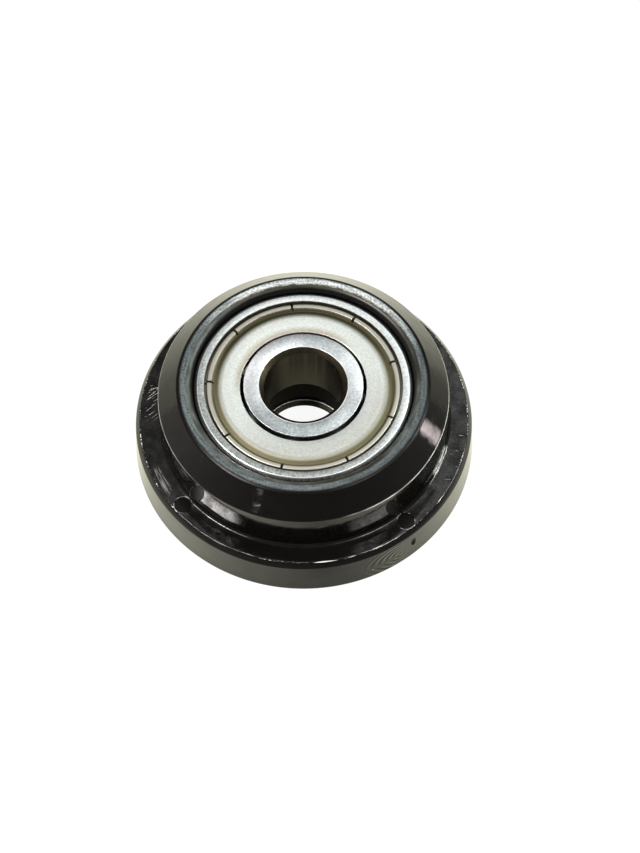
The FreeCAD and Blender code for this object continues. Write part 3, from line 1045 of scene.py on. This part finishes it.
def white_table():
    """Matt white card: white to the camera, and in reflections darker in the roller's shade."""
    table_reach = 3.0
    card_sheet = bmesh.new()
    bmesh.ops.create_grid(card_sheet, x_segments=1, y_segments=1, size=table_reach)
    table = made("table", card_sheet)
    material, tree = new_material("white_card")
    ray = add(tree, "LightPath").outputs
    mirrored = ray["Is Glossy Ray"]
    strength = add(tree, "Mix", {0: mirrored, 2: 1.03, 3: table_reflection(tree)})
    tint = add(tree, "Mix", {0: mirrored, 6: linear("#ffffff"), 7: linear("#fffee6")}, data_type="RGBA")
    card = add(tree, "BsdfDiffuse", {"Color": linear("#f6f5f1")})
    glow = add(tree, "Emission", {"Color": tint.outputs[2], "Strength": strength.outputs[0]})
    shown = combined(tree, "MAXIMUM", ray["Is Camera Ray"], ray["Is Transmission Ray"], mirrored)
    glow_share = combined(tree, "MULTIPLY", shown, 0.9)
    mix = add(tree, "MixShader", {0: glow_share, 1: card.outputs[0], 2: glow.outputs[0]})
    add(tree, "OutputMaterial", {"Surface": mix.outputs[0]})
    table.data.materials.append(material)


def studio_room():
    """Dim room for light and reflections: brighter low down and to the left. White to the camera."""
    world = bpy.data.worlds.new("studio")
    bpy.context.scene.world = world
    world.use_nodes = True
    tree = world.node_tree
    tree.nodes.clear()
    towards = add(tree, "SeparateXYZ", {0: add(tree, "TexCoord").outputs["Generated"]}).outputs
    side = add(tree, "MapRange", {"Value": towards["X"], "From Min": -1.0, "From Max": 0.3,
                                  "To Min": 0.6, "To Max": 0.3}).outputs[0]
    front = add(tree, "MapRange", {"Value": towards["Y"], "From Min": -0.9, "From Max": -0.1,
                                   "To Min": 0.5, "To Max": 1.0}).outputs[0]
    low = add(tree, "MapRange", {"Value": towards["Z"], "From Min": 0.05, "From Max": 0.6, "To Min": 1.0,
                                 "To Max": 0.35}, interpolation_type="SMOOTHSTEP").outputs[0]
    strength = combined(tree, "MULTIPLY", side, front, low)
    room = add(tree, "Background", {"Color": linear("#fffdf4"), "Strength": strength})
    white = add(tree, "Background", {"Color": linear("#ffffff"), "Strength": 1.0})
    seen = add(tree, "LightPath").outputs["Is Camera Ray"]
    mix = add(tree, "MixShader", {0: seen, 1: room.outputs[0], 2: white.outputs[0]})
    add(tree, "OutputWorld", {"Surface": mix.outputs[0]})


def soft_lamp(name, azimuth, elevation, width, height, radiance, colour, edge):
    """Lamp half a metre off that faces the roller. Azimuth 0 is at +X; sizes are in degrees of view.

    Its glow fades towards its edges, over the given share of its size.
    """
    distance = 0.5
    lamp = bpy.data.lights.new(name, "AREA")
    lamp.shape = "RECTANGLE"
    lamp.size = 2 * distance * math.tan(math.radians(width / 2))
    lamp.size_y = 2 * distance * math.tan(math.radians(height / 2))
    lamp.energy = radiance * math.pi * lamp.size * lamp.size_y
    lamp.color = linear(colour)[:3]
    lamp.use_nodes = True
    tree = lamp.node_tree
    tree.nodes.clear()
    across = add(tree, "SeparateXYZ", {0: add(tree, "NewGeometry").outputs["Parametric"]}).outputs
    edges = [near(tree, across[axis], middle=0.5, reach=0.5 - edge, fade=edge) for axis in ("X", "Y")]
    glow = add(tree, "Emission", {"Strength": combined(tree, "MULTIPLY", *edges)})
    add(tree, "OutputLight", {"Surface": glow.outputs[0]})
    stand = bpy.data.objects.new(name, lamp)
    bpy.context.scene.collection.objects.link(stand)
    aim = Matrix.Translation((0, 0, rim_top * mm))
    turn = Matrix.Rotation(math.radians(azimuth + 90), 4, "Z")
    tilt = Matrix.Rotation(math.radians(90 - elevation), 4, "X")
    stand.matrix_world = aim @ turn @ tilt @ Matrix.Translation((0, 0, distance))


white_table()
studio_room()
for lamp_row in (
    # Name, azimuth, elevation, width, height, radiance, colour and faded edge
    ("back_panel", 50, 61, 47, 43, 1.75, "#f8fcf9", 0.15),
    ("left_panel", 140, 58, 50, 36, 0.55, "#ffffff", 0.15),
    ("left_lamp", 199, 57.5, 21, 6.5, 125.0, "#fffaf8", 0.15),
    ("right_lamp", 324, 59, 23, 10, 26.0, "#fffaf8", 0.25),
    ("front_left_spot", 240, 24, 3, 1.5, 7.0, "#ffffff", 0.15),
    ("right_low_lamp", 6, 14, 9, 24, 21.0, "#fff0f0", 0.3),
    ("right_side_lamp", 10, 36, 22, 14, 38.0, "#f6fff8", 0.3),
):
    soft_lamp(*lamp_row)

# Camera at the photo's viewing angle: lens in millimetres, place in metres and turns in degrees
camera_lens = 114.566
camera_place = (0.001656, -0.14092, 0.24524)
camera_tilt = 30.158
camera_roll = -0.237
camera = bpy.data.objects.new("camera", bpy.data.cameras.new("camera"))
bpy.context.scene.collection.objects.link(camera)
camera.data.lens = camera_lens
camera.data.clip_start = 0.01
camera.matrix_world = (Matrix.Translation(camera_place)
                       @ Matrix.Rotation(math.radians(camera_tilt), 4, "X")
                       @ Matrix.Rotation(math.radians(camera_roll), 4, "Z"))
bpy.context.scene.camera = camera
bpy.context.scene.view_settings.view_transform = "Standard"
